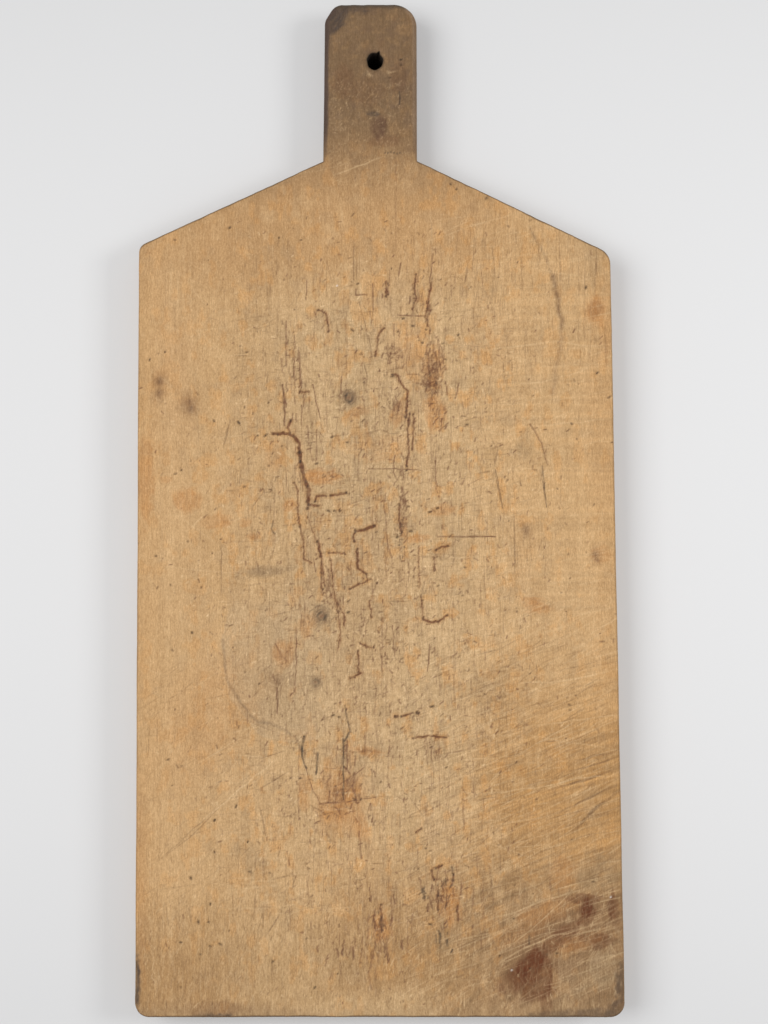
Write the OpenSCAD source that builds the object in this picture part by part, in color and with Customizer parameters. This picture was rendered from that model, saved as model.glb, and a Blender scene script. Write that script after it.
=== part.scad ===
// Kitchen cutting board, sawn from one plank: a blade with a square foot and two
// sloping shoulders, and a short handle in the same wood with a hole to hang it by.
// Lying on its underside: +Z is up, +Y runs along the grain towards the handle.
// The origin is the middle of the underside.

/* [Plank] */
// Thickness of the plank
board_t = 20; // [14:1:32]
// Radius worn on the long edges, all the way round
arris_r = 1.5; // [0.5:0.1:3]

/* [Blade] */
// Width of the blade
blade_w = 250; // [190:1:320]
// Length of the blade, from its foot to the neck
blade_l = 447.5; // [340:1:560]
// How far the left shoulder falls from the neck to the side
left_drop = 45; // [25:1:80]
// How far the right shoulder falls from the neck to the side
right_drop = 51; // [25:1:80]
// Radius of the two corners at the foot
foot_corner_r = 7.5; // [4:0.5:20]
// Radius where the left shoulder meets its side
left_shoulder_r = 5.5; // [4:0.5:30]
// Radius where the right shoulder meets its side
right_shoulder_r = 9; // [4:0.5:30]

/* [Handle] */
// Width of the handle
handle_w = 50; // [40:1:70]
// Length of the handle, from the neck to its end
handle_l = 86.5; // [70:1:140]
// How far the handle stands to the right of the middle of the blade
handle_shift = -2; // [-10:0.5:10]
// Radius of the left corner at the end of the handle
left_end_r = 10; // [4:0.5:18]
// Radius of the right corner at the end of the handle
right_end_r = 13; // [4:0.5:18]

/* [Hanging hole] */
// Diameter of the hole
hole_d = 9; // [6:0.5:14]
// Distance of its axis from the end of the handle
hole_from_end = 32; // [20:1:45]
// How far its axis stands to the right of the middle of the handle
hole_shift = 3; // [-6:0.5:6]
// Bevel worn round each mouth of the hole
hole_bevel = 0.8; // [0.2:0.1:2]

/* [Hidden] */

// Divisions of a full turn in the corners of the outline, in the worn edges and
// round the hole
corner_fn = 36;
arris_fn = 16;
hole_fn = 96;
// How far the hole is cut past each face
cut_past = 1;

foot_y = -(blade_l + handle_l) / 2;
neck_y = foot_y + blade_l;
end_y = neck_y + handle_l;
side_x = blade_w / 2;
handle_left_x = handle_shift - handle_w / 2;
handle_right_x = handle_shift + handle_w / 2;

// The outline before its corners are rounded, anticlockwise from the left of the
// foot, and the radius of each corner. The two inside corners of the neck are sharp.
OUTLINE = [
    [-side_x, foot_y],
    [side_x, foot_y],
    [side_x, neck_y - right_drop],
    [handle_right_x, neck_y],
    [handle_right_x, end_y],
    [handle_left_x, end_y],
    [handle_left_x, neck_y],
    [-side_x, neck_y - left_drop],
];
CORNER_R = [
    foot_corner_r,
    foot_corner_r,
    right_shoulder_r,
    0,
    right_end_r,
    left_end_r,
    0,
    left_shoulder_r,
];
LAST = len(OUTLINE) - 1;

function unit(v) = v / norm(v);
// Direction of the straight edge that leaves corner i, and its bearing
function run(i) = unit(OUTLINE[(i + 1) % (LAST + 1)] - OUTLINE[i]);
function bearing(i) = atan2(run(i).y, run(i).x);
function before(i) = i == 0 ? LAST : i - 1;
// Angle turned at corner i, from 0 to 360
function turn(i) = (bearing(i) - bearing(before(i)) + 360) % 360;

// Points along the arc that rounds corner i, or the corner itself if it is sharp
function corner_points(i) =
    let (r = CORNER_R[i])
    let (steps = ceil(turn(i) * corner_fn / 360))
    let (start = OUTLINE[i] - run(before(i)) * r * tan(turn(i) / 2))
    let (from = bearing(before(i)) - 90)
    let (centre = start - r * [cos(from), sin(from)])
    r == 0 ? [OUTLINE[i]] : [
        for (k = [0 : steps])
            let (a = from + turn(i) * k / steps)
            centre + r * [cos(a), sin(a)]
    ];

module outline() {
    polygon([for (i = [0 : LAST]) for (p = corner_points(i)) p]);
}

// A ball that is exactly as tall and as wide as its diameter
module arris_ball() {
    rotate_extrude($fn = arris_fn)
        intersection() {
            circle(arris_r, $fn = arris_fn);
            translate([0, -arris_r])
                square([arris_r, 2 * arris_r]);
        }
}

// The plank, with every edge worn to the same radius
module plank() {
    translate([0, 0, arris_r])
        minkowski() {
            linear_extrude(board_t - 2 * arris_r)
                offset(delta = -arris_r)
                    outline();
            arris_ball();
        }
}

module hanging_hole() {
    hole_r = hole_d / 2;
    mouth_r = hole_r + hole_bevel;
    translate([handle_shift + hole_shift, end_y - hole_from_end, 0]) {
        translate([0, 0, -cut_past])
            cylinder(r = hole_r, h = board_t + 2 * cut_past, $fn = hole_fn);
        cylinder(r1 = mouth_r, r2 = hole_r, h = hole_bevel, $fn = hole_fn);
        translate([0, 0, board_t - hole_bevel])
            cylinder(r1 = hole_r, r2 = mouth_r, h = hole_bevel, $fn = hole_fn);
    }
}

module board() {
    color([0.74, 0.60, 0.42])
        difference() {
            plank();
            hanging_hole();
        }
}

board();
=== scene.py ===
"""The looks of the cutting board: one worn plank, its light and its camera."""

import math

import bpy
import numpy as np
from mathutils import Matrix, Vector
from mathutils.geometry import delaunay_2d_cdt


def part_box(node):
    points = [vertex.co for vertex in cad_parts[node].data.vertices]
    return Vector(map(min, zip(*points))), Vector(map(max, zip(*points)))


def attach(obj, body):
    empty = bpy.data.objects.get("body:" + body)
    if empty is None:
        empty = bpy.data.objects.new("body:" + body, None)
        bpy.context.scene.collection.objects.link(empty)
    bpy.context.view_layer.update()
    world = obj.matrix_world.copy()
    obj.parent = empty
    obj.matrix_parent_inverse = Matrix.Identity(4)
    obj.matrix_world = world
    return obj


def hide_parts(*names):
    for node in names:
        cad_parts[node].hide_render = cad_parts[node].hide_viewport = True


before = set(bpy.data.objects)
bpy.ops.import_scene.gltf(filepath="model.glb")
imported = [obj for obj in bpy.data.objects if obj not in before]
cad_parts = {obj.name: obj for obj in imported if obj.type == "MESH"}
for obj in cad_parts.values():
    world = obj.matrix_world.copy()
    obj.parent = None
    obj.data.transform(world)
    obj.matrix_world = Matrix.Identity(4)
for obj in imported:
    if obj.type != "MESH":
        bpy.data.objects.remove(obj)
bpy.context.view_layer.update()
low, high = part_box("board")
MM = 0.001

# ---- Sizes, in millimetres, in the frame of the CAD model ----
SIDE = high.x / MM  # half the blade's width
FOOT = low.y / MM
END = high.y / MM
THICK = (high.z - low.z) / MM
HANDLE_L = 86.5
NECK = END - HANDLE_L
HANDLE_LEFT, HANDLE_RIGHT = -27.0, 23.0
LEFT_SHOULDER, RIGHT_SHOULDER = NECK - 45.0, NECK - 51.0
FOOT_R, LEFT_SHOULDER_R, RIGHT_SHOULDER_R, NECK_R = 7.5, 5.5, 9, 0.8
RIGHT_END_R, LEFT_END_R = 12.5, 8
FOOT_SKEW = 2.0  # the foot was sawn this much out of square
HOLE = (1.0, END - 32.0)
HOLE_RX, HOLE_RY = 4.2, 4.6
HOLE_STEPS = 80
MOUTH = 3.2  # width of the strip round the mouth of the hole
MOUTH_R = 0.6  # radius worn on its edge
HOLE_CLEAR = 4.8  # the grid stays this far from the hole

GRID = 0.5  # the mesh on the cutting face
UNDER_GRID = 2.0  # the mesh on the underside
RIM = 4.4  # width of the strip that follows the outline
SEED = 7


# ---- Noise ----
NOISE_X, NOISE_Y = 150, 300  # noise repeats beyond this far from the middle


def smooth(t):
    """From 0 to 1 with a soft start and a soft end."""
    t = np.clip(t, 0, 1)
    return t * t * (3 - 2 * t)


def noise(x, y, cell_x, cell_y, seed):
    """Smooth random numbers from -1 to 1, with features cell_x by cell_y mm."""
    rng = np.random.default_rng(seed)
    u, v = (np.asarray(x) + NOISE_X) / cell_x, (np.asarray(y) + NOISE_Y) / cell_y
    rows, columns = int(2 * NOISE_Y / cell_y) + 4, int(2 * NOISE_X / cell_x) + 4
    lattice = rng.uniform(-1, 1, (rows, columns))
    i, j = np.floor(v).astype(int), np.floor(u).astype(int)
    a, b = smooth(v - i), smooth(u - j)
    i0, i1, j0, j1 = i % rows, (i + 1) % rows, j % columns, (j + 1) % columns
    top = lattice[i0, j0] * (1 - b) + lattice[i0, j1] * b
    return top * (1 - a) + (lattice[i1, j0] * (1 - b) + lattice[i1, j1] * b) * a


def layered(x, y, cell_x, cell_y, seed, layers=4):
    """Noise with finer noise on it, each layer half the size of the last."""
    total, weight = 0, 1.0
    for k in range(layers):
        total = total + weight * noise(x, y, cell_x / 2**k, cell_y / 2**k, seed + k)
        weight *= 0.55
    return total / 1.8


# ---- The outline ----
def rounded(corners, step):
    """Points round a closed outline of (x, y, radius) corners, anticlockwise."""
    points = []
    xy = [np.array(c[:2], float) for c in corners]

    def straight(end):
        start = points[-1]
        m = max(1, round(np.linalg.norm(end - start) / step))
        points.extend([start + (end - start) * k / m for k in range(1, m)])

    for i, (_, _, r) in enumerate(corners):
        here, back, on = xy[i], xy[i - 1], xy[(i + 1) % len(xy)]
        a = (here - back) / np.linalg.norm(here - back)
        b = (on - here) / np.linalg.norm(on - here)
        turn = math.atan2(a[0] * b[1] - a[1] * b[0], a @ b)
        sign = 1 if turn > 0 else -1
        start = here - a * r * math.tan(abs(turn) / 2)
        centre = start + np.array([-a[1], a[0]]) * r * sign
        first = math.atan2(*(start - centre)[::-1])
        n = max(8, math.ceil(abs(turn) * r / step))
        arc = [
            centre + r * np.array([math.cos(first + turn * k / n), math.sin(first + turn * k / n)])
            for k in range(n + 1)
        ]
        if points:
            straight(arc[0])
        points += arc
    straight(points[0])
    return np.array(points)


CORNERS = [
    (-SIDE, FOOT + FOOT_SKEW, FOOT_R),
    (SIDE, FOOT, FOOT_R),
    (SIDE, RIGHT_SHOULDER, RIGHT_SHOULDER_R),
    (HANDLE_RIGHT + 0.2, NECK, NECK_R),
    (HANDLE_RIGHT + 0.8, END, RIGHT_END_R),
    (HANDLE_LEFT + 6.5, END, LEFT_END_R),  # this corner is worn to a slope
    (HANDLE_LEFT + 1.1, END - 9.0, LEFT_END_R),
    (HANDLE_LEFT, NECK, NECK_R),
    (-SIDE, LEFT_SHOULDER, LEFT_SHOULDER_R),
]
line = rounded(CORNERS, GRID)
tangent = np.roll(line, -1, 0) - np.roll(line, 1, 0)
tangent /= np.linalg.norm(tangent, axis=1)[:, None]
outward = np.stack([tangent[:, 1], -tangent[:, 0]], 1)
step_len = np.linalg.norm(np.roll(line, -1, 0) - line, axis=1)
along = np.concatenate([[0], np.cumsum(step_len)[:-1]])
on_handle = smooth((line[:, 1] - NECK + 2) / 8)
# The sides were never quite true, and the edges are worn unevenly.
wave = noise(*line.T, 35, 35, 11)
line = line - outward * (0.12 + 0.12 * wave)[:, None]
arris = 1.2 + 1.8 * on_handle + 0.35 * noise(*line.T, 14, 14, 12) + 0.25 * noise(*line.T, 4, 4, 13)
arris = np.clip(arris, 0.5, 3.4)

# ---- The cutting face as a grid, on which its marks are laid ----
xs = np.linspace(-SIDE, SIDE, round(2 * SIDE / GRID) + 1)
ys = np.linspace(FOOT, END, round((END - FOOT) / GRID) + 1)
X, Y = np.meshgrid(xs, ys)
relief = np.zeros_like(X)
layers = {}
GAPS = smooth(0.42 + layered(X, Y, 2.4, 2.4, 101, 2))  # 1 where a broken line is missing
SWELL = noise(X, Y, 4, 4, 105)  # above 0 where it is wider

rng = np.random.default_rng(SEED)


def layer(name):
    return layers.setdefault(name, np.zeros_like(X))


def window(x0, x1, y0, y1):
    """The part of the grid in a rectangle."""
    j = [max(0, int((x + SIDE) / (xs[1] - xs[0]))) for x in (x0, x1)]
    i = [max(0, int((y - FOOT) / (ys[1] - ys[0]))) for y in (y0, y1)]
    return slice(i[0], i[1] + 2), slice(j[0], j[1] + 2)


def seat(x, y):
    """From the foreshortened places in the lists below to places on the board."""
    return x - 2.8e-5 * x * y, y + 2.6 - 2.7e-5 * (y + 20) ** 2


def stroke(name, points, width, strength, depth=0.0, fade=False, broken=0.0, soft=GRID):
    """A line along the points, laid on a layer and sunk into the face."""
    target = layer(name)
    n = len(points) - 1
    for k in range(n):
        (x0, y0), (x1, y1) = seat(*points[k]), seat(*points[k + 1])
        reach = 0.9 * width + soft
        w = window(min(x0, x1) - reach, max(x0, x1) + reach, min(y0, y1) - reach, max(y0, y1) + reach)
        px, py = X[w] - x0, Y[w] - y0
        dx, dy = x1 - x0, y1 - y0
        t = np.clip((px * dx + py * dy) / (dx * dx + dy * dy + 1e-9), 0, 1)
        d = np.hypot(px - t * dx, py - t * dy)
        half = width / 2 * (1 + 0.8 * broken * SWELL[w])
        cover = np.clip((half + soft / 2 - d) / soft, 0, 1)
        if broken:
            cover = cover * (1 - broken * GAPS[w])
        if fade:
            cover = cover * np.sin(math.pi * np.clip((k + t) / n, 0.02, 0.98)) ** 0.5
        target[w] = np.maximum(target[w], strength * cover)
        if depth:
            relief[w] = np.minimum(relief[w], -depth * cover)


def dab(name, x, y, length, angle, width, strength, depth=0.0):
    """A short thick mark, centred on x, y."""
    a = math.radians(angle)
    dx, dy = length / 2 * math.cos(a) + 0.01, length / 2 * math.sin(a)
    stroke(name, [(x - dx, y - dy), (x + dx, y + dy)], width, strength, depth)


def wander(points, step=1.4, jitter=0.3):
    """The same line as a hand or a grub would make it."""
    out = [points[0]]
    for a, b in zip(points, points[1:]):
        n = max(1, round(math.dist(a, b) / step))
        for k in range(1, n + 1):
            x, y = a[0] + (b[0] - a[0]) * k / n, a[1] + (b[1] - a[1]) * k / n
            out.append((x + rng.normal(0, jitter), y + rng.normal(0, jitter)))
    return out


def bow(a, b, sag, n=9):
    """Points on a shallow curve from a to b."""
    (x0, y0), (x1, y1) = a, b
    return [
        (
            x0 + (x1 - x0) * t - (y1 - y0) * sag * 4 * t * (1 - t),
            y0 + (y1 - y0) * t + (x1 - x0) * sag * 4 * t * (1 - t),
        )
        for t in (k / n for k in range(n + 1))
    ]


def blot(name, x, y, rx, ry, strength, angle=0, rough=0.3, edge=0.5, seed=0, streaked=0.0):
    """A soft stain. Its edge is drawn out in the direction of its first radius."""
    x, y = seat(x, y)
    a = math.radians(angle)
    c, s = math.cos(a), math.sin(a)
    reach = max(rx, ry) * 1.8 + 1
    w = window(x - reach, x + reach, y - reach, y + reach)
    px, py = X[w] - x, Y[w] - y
    u, v = px * c + py * s, -px * s + py * c
    cell = max(min(rx, ry) * 0.6, 0.9)
    r = np.hypot(u / rx, v / ry) + rough * layered(u, v, 1.8 * cell, cell, 50 + seed, 3)
    target = layer(name)
    cover = smooth((1 - r) / edge + 0.5)
    cover = cover * (1 - streaked * smooth(0.5 + 1.2 * layered(u, v, 9, 1.1, 70 + seed, 3)))
    target[w] = np.maximum(target[w], strength * cover)


# ---- Worm galleries that wear has opened: (width, points) ----
GALLERIES = [
    (1.5, [(-54, 32), (-46, 32), (-42, 30), (-40, 27), (-40, 18), (-38, 9), (-35, 2), (-36, -8)]),
    (1.9, [(-40, 22), (-38, 9), (-35, 2), (-36, -4)]), (1.2, [(-45, 32), (-46, 35), (-45, 39)]),
    (1.0, [(-35, -6), (-30, -6)]), (1.0, [(-32, -4), (-31, -1), (-26, -1)]), (1.1, [(-24, -1), (-16, 0)]),
    (0.4, [(-36, -12), (-34, -18), (-31, -25)]), (1.1, [(-31, -25), (-30, -28), (-29, -33)]),
    (0.6, [(-29, -33), (-28, -40), (-27, -48)]), (0.55, [(-43, 6), (-41, 2), (-41, -9), (-40, -17)]),
    (0.6, [(-40, -17), (-38, -25), (-38, -34), (-34, -36)]), (0.6, [(-25, -31), (-20, -31), (-16, -32)]),
    (1.3, [(-1, -17), (-6, -19), (-11, -20)]), (1.1, [(-11, -20), (-12, -22), (-12, -25)]),
    (0.85, [(-10, -29), (-10, -39), (-6, -42)]), (0.9, [(-14, -50), (-9, -47)]),
    (0.5, [(-9, -47), (-3, -45)]), (0.6, [(-29, -36), (-29, -44), (-28, -52)]),
    (0.6, [(-24, -35), (-23, -45), (-22, -54), (-20, -62)]), (0.45, [(-20, -62), (-19, -75), (-20, -80)]),
    (0.4, [(-20, -58), (-17, -64), (-17, -69)]), (0.5, [(-4, -56), (-3, -65)]),
    (0.35, [(22, -28), (22, -44), (22, -49)]), (0.6, [(23, -54), (24, -66)]),
    (1.05, [(24, -66), (28, -68), (32, -67), (36, -64)]), (0.9, [(31, -30), (34, -28), (37, -28)]),
    (0.55, [(30, -34), (30, -41)]), (0.7, [(-10, -82), (-10, -90), (-9, -94), (-14, -96)]),
    (0.6, [(-9, -78), (-2, -81)]), (0.7, [(12, -116), (18, -114)]), (1.4, [(9, -116), (10, -116)]),
    (1.3, [(20, -114), (21, -114)]), (0.8, [(18, -127), (26, -126), (35, -127)]),
    (0.7, [(22, -173), (19, -175)]), (1.1, [(17, 54), (16, 40)]),
    (0.9, [(9, 63), (12, 62), (14, 58), (17, 54)]), (0.8, [(18, 42), (17, 35), (17, 21), (16, 14)]),
    (0.8, [(20, 42), (20, 33), (19, 23)]), (1.0, [(12, -6), (12, -14), (13, -21)]),
    (0.8, [(5, 88), (2, 84), (0, 73)]), (0.8, [(-30, 98), (-26, 96), (-25, 91), (-25, 86)]),
    (0.9, [(30, 112), (29, 106), (28, 98)]), (0.7, [(22, 117), (21, 109), (22, 104), (20, 98)]),
    (0.9, [(6, 113), (6, 105)]), (0.6, [(7, 112), (7, 106)]), (0.8, [(30, -204), (30, -214)]),
    (0.9, [(27, -194), (28, -199)]), (0.9, [(29, -193), (32, -192)]), (1.0, [(40, -212), (40, -219)]),
    (1.1, [(38, -196), (38, -199)]), (0.9, [(1, -211), (1, -224)]), (0.6, [(28, 92), (29, 85)]),
    (0.8, [(-40, 54), (-35, 54)]),
]  # fmt: skip
for width, points in GALLERIES:
    path = wander(points, 1.3, 0.22)
    stroke("orange", path, 2 * width, 0.7, broken=0.6, soft=2.5)
    stroke("gallery", path, 0.95 * width, 1.0, 0.4 + 0.4 * width, broken=0.36)
    stroke("gallery", wander(points, 2.0, 0.3), 0.5 * width, 0.9, 0.3, broken=0.7)
    if width > 0.85:
        stroke("dust", path, 0.45 * width, rng.uniform(0.5, 0.9), broken=0.8)
    for x, y in path[::2]:
        near = x + rng.normal(0, 0.6), y + rng.normal(0, 0.6)
        dab("crack", *near, 0.5, rng.uniform(0, 180), 0.5, rng.uniform(0, 1))
        near = x + rng.normal(0, 0.2), y + rng.normal(0, 0.2)
        dab("soot", *near, 0.8, 90, 0.5 * width, max(0, rng.normal(0.2, 0.4)))
    for x, y in (path[0], path[-1]):
        dab("soot", x, y, 0.8, rng.uniform(0, 180), 0.9 * width, rng.uniform(0.2, 0.8), 0.6)

# Long black-brown splits and thin red-brown cracks along the grain
for name, splits in [
    ("soot", [(1.2, [(-38, -126), (-39, -131), (-39, -137), (-37, -142)])]),
    ("crack", [(0.5, [(-37, -142), (-34, -152), (-30, -160)])]),
    ("soot", [
        (0.7, [(-31, -134), (-32, -145)]), (0.5, [(-17, -110), (-15, -120), (-14, -124)]),
        (0.8, [(-15, -124), (-17, -128)]), (0.7, [(-18, -127), (-18, -133), (-18, -146), (-18, -158)]),
    ]),
    ("crack", [
        (0.6, [(-16, -128), (-16, -142)]), (0.6, [(-33, 58), (-32, 54), (-31, 47), (-29, 40)]),
        (0.7, [(-47, 92), (-47, 67)]), (0.6, [(-40, 75), (-40, 66), (-39, 57), (-40, 53)]),
        (0.8, [(-49, 58), (-48, 50), (-48, 36)]), (0.5, [(-43, 73), (-43, 61)]),
        (0.5, [(-39, 47), (-39, 36)]), (0.5, [(-36, 36), (-34, 18)]), (0.4, [(-31, 34), (-31, 18)]),
        (0.5, [(-33, -34), (-32, -41)]), (0.5, [(-42, -70), (-42, -88), (-43, -103)]),
        (0.5, [(5, 0), (4, -7), (5, -15), (5, -21), (6, -28), (8, -34)]),
        (0.6, [(10, 20), (9, 11), (11, 7), (9, 4)]), (0.5, [(31, 17), (32, 0)]),
        (0.5, [(-4, 13), (8, 13), (24, 12)]), (0.6, [(32, -23), (49, -23), (62, -23)]),
        (0.6, [(31, 128), (30, 118), (29, 112)]), (0.5, [(12, 95), (28, 94)]),
        (0.5, [(10, 90), (10, 84)]), (0.6, [(34, 79), (34, 71)]), (0.6, [(37, 59), (38, 52)]),
        (0.6, [(44, 58), (42, 50)]), (0.5, [(17, 63), (22, 63)]), (0.5, [(-1, 112), (-1, 98)]),
        (0.5, [(14, 123), (13, 116)]), (0.4, [(8, -69), (9, -85)]), (0.5, [(27, -79), (26, -93)]),
        (0.6, [(-52, -101), (-52, -114)]), (0.5, [(-53, -78), (-49, -85)]),
        (0.5, [(-10, -174), (-9, -188)]), (0.4, [(-41, -154), (-41, -168)]),
        (0.5, [(-30, -160), (-16, -159), (-1, -157)]), (0.5, [(-32, 97), (-31, 94)]),
        (0.5, [(-18, 62), (-18, 53)]), (0.5, [(-36, 114), (-36, 106)]),
        (0.7, [(-10, 109), (-10, 106), (-4, 106)]),
    ]),
    ("soot", [
        (0.6, [(-54, -14), (-55, -18), (-53, -21)]), (0.5, [(76, -227), (76, -231)]),
        (0.5, [(62.5, 12), (66, -8)]), (0.5, [(87, 14), (89, -8)]),
    ]),
    ("crack", [(0.4, [(81, 36), (87, 26), (90, 14)])]),
]:  # fmt: skip
    for width, points in splits:
        stroke(name, wander(points, 2.2, 0.14), width, 1.0, 0.3, broken=0.4)


def scribble(name, x, y, rx, ry, n, length, tilt=90, spread=12, width=(0.4, 0.9)):
    """A patch of short ragged lines where the grain was torn or eaten."""
    for _ in range(n):
        px, py = rng.normal(x, rx * 0.5), rng.normal(y, ry * 0.5)
        a = math.radians(rng.normal(tilt, spread))
        half = rng.gamma(2.5, length / 2.5) / 2
        dx, dy = half * math.cos(a), half * math.sin(a)
        path = wander([(px + dx, py + dy), (px - dx, py - dy)], 1.3, 0.25)
        stroke(name, path, rng.uniform(*width), rng.uniform(0.5, 1.0), 0.3, broken=0.4)


for patch in [
    ("crack", 10, 74, 5, 6, 56, 2.0, 60, 60), ("gallery", 29, 59, 5, 11, 70, 2.0, 80, 35),
    ("soot", 28, 58, 4.5, 9, 8, 1.2, 80, 35, (0.4, 0.7)), ("gallery", 32, 66, 5, 10, 34, 2.4, 90, 14),
    ("gallery", 27, 57, 4, 5, 16, 1.6, 70, 50, (0.8, 1.3)),
    ("gallery", 28, 98, 1.6, 9, 12, 2.6, 85, 12, (0.5, 1.0)), ("crack", 31, 70, 6, 12, 46, 4.2, 90, 14),
    ("crack", 33, 42, 6, 10, 22, 2.2, 80, 30), ("crack", 11, 47, 3, 6, 24, 2.4, 85, 30),
    ("crack", 14, -14, 1.8, 16, 60, 2.2, 85, 35), ("soot", 13, -20, 1.4, 12, 14, 1.2, 85, 35),
    ("crack", 14, 10, 2.2, 9, 16, 3.0), ("crack", 32, -207, 8, 15, 46, 3.6, 88, 14),
    ("gallery", 33, -205, 6, 11, 18, 2.0, 75, 35), ("soot", 34, -206, 7, 13, 10, 1.4, 80, 30, (0.4, 0.8)),
    ("soot", 23, -206, 2, 3.5, 7, 2.6, 70, 30, (0.6, 1.1)), ("soot", 33, -230, 5, 6, 10, 2.0, 90, 20),
    ("crack", -17, -138, 2, 9, 14, 2.5, 88, 20), ("crack", -18, -160, 9, 10, 18, 3.0, 90, 60),
    ("crack", -25, -48, 3, 8, 30, 3.0, 95, 25), ("gallery", -23, -55, 4, 4, 24, 2.0, 90, 70, (0.3, 0.7)),
    ("crack", -5, 60, 3, 5, 9, 3.0), ("crack", 0, -222, 8, 16, 40, 5.0, 90, 7),
    ("soot", 1, -220, 3, 8, 7, 4.0, 92, 7, (0.3, 0.6)), ("crack", -12, -150, 14, 14, 30, 3.0, 88, 18),
    ("crack", -15, -235, 16, 10, 24, 4.0, 88, 10), ("crack", -44, 60, 6, 28, 24, 5.0, 90, 5),
    ("crack", 28, -132, 8, 6, 20, 4.0, 90, 8, (0.3, 0.5)), ("crack", 24, 102, 5, 12, 18, 3.5, 90, 10),
]:  # fmt: skip
    scribble(*patch)

# Fine cracks and thin dark lines, most of them in the worn middle
for n, x, rx, y, ry, length in [
    (150, -4, 36, -30, 95, 14),
    (100, 14, 24, 60, 60, 12),
    (110, -10, 48, -170, 60, 12),
]:
    for _ in range(n):
        px, py = rng.normal(x, rx * 0.7), rng.normal(y, ry * 0.6)
        half = rng.gamma(2.5, length / 2.5) / 2
        path = wander([(px + rng.normal(0, 0.5), py + half), (px, py - half)], 3, 0.15)
        stroke("crack", path, rng.uniform(0.25, 0.5), rng.uniform(0.25, 0.85), 0.15, broken=0.7)

# ---- Beetle holes, which wear has opened into short pits ----
HOLES = [
    (-77, 143), (-39, 136), (-111, 76), (-119, 72), (-12, 87), (44, 84), (117, 63), (123, 50), (-85, 39),
    (-72, 38), (-102, 13), (-69, 4), (-31, 16), (-115, -32), (-96, -72), (-28, -50), (-15, -62), (0, -47),
    (103, 36), (48, 36), (17, -7), (18, -20), (11, -23), (-108, -137), (-84, -168), (-84, -184),
    (-67, -179), (-66, -194), (-86, -210), (-92, -219), (-87, -219), (-73, -161), (-101, -229),
    (-91, -235), (-81, -230), (-86, -231), (-33, -252), (24, -183), (15, 93), (20, 89), (27, 87),
    (25, 80), (12, 86), (37, 71), (9, 120), (76, 123), (41, 166), (44, 163), (60, 158), (112, 109),
    (124, 26), (-9, 112), (-6, 59), (9, 62), (-58, 31), (-62, 31), (16, 12), (-23, 30), (-15, 27),
    (28, -10), (32, -8), (61, -237), (83, -265), (-20, -116), (-23, -115), (-12, -158), (-9, -158),
    (-45, -147), (-40, -147), (28, -111), (26, -221), (15, 235), (15, 232), (9, 225), (-96, -197),
    (-25, -9), (-22, -9), (-19, -9),
]  # fmt: skip
strays = [(rng.uniform(-118, 118), rng.uniform(-255, 145)) for _ in range(110)]
for k, (x, y) in enumerate(HOLES + strays):
    by_hand = k < len(HOLES)
    size = rng.uniform(0.6, 1.05) if by_hand else rng.uniform(0.35, 0.7)
    angle = rng.normal(15, 28) if abs(x) < 60 else rng.uniform(0, 180)
    dab("pit", x, y, size * rng.uniform(0.3, 1.9), angle, size * 1.25, 0.55, 0.3)
    length = size * rng.uniform(0.2, 1.2)
    dab("soot", x, y, length, angle, size * 0.8, rng.uniform(0.5, 0.95) if by_hand else 0.45, 1.0)

# ---- Knots: (x, y, size, strength, rings) ----
for k, (x, y, size, strength, rings) in enumerate([
    (-29, -64, 3.2, 1.0, 4), (-14, 51, 3.2, 1.0, 2), (-32, -98, 2.2, 0.7, 3), (-98, 49, 2.0, 0.7, 0),
    (-97, 46, 1.9, 0.8, 0), (-114, 60, 1.9, 0.7, 0), (-114, 54, 1.7, 0.65, 0), (78, -20, 1.4, 0.6, 0),
    (114, -33, 1.4, 0.7, 0), (115, -36, 0.8, 0.7, 0), (-52, -98, 1.5, 0.6, 0), (-98, 47, 3.4, 0.3, 0),
]):  # fmt: skip
    if rings:
        blot("grey", x, y, size * 2.6, size * 3.1, 0.8 * strength, seed=k, edge=1.3)
    else:
        blot("brown", x, y, size * 2.2, size * 2.8, 0.42 * strength, seed=40 + k, edge=1.6)
    blot("knot", x, y, size * 1.25, size * 1.4, 0.6 * strength, seed=20 + k, edge=1.1)
    for turn in range(rings):
        r = size * (0.62 + 0.42 * turn)
        ring = [
            (x + r * math.cos(t) * rng.uniform(0.8, 1.2), y + 1.1 * r * math.sin(t) * rng.uniform(0.8, 1.2))
            for t in np.linspace(0, 2 * math.pi, 17)
        ]
        width, share = (1.0, 0.9) if turn == 0 else (0.4, 0.5)
        stroke("soot", ring + ring[:1], width, strength * share, 0.15, broken=0.8)
    if rings:
        dab("dust", x, y, 0.6, 20, 0.9, 0.6 * strength, 0.2)
    else:
        dab("knot", x, y, size * 0.7, 80, size * 0.6, strength, 0.2)

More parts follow.
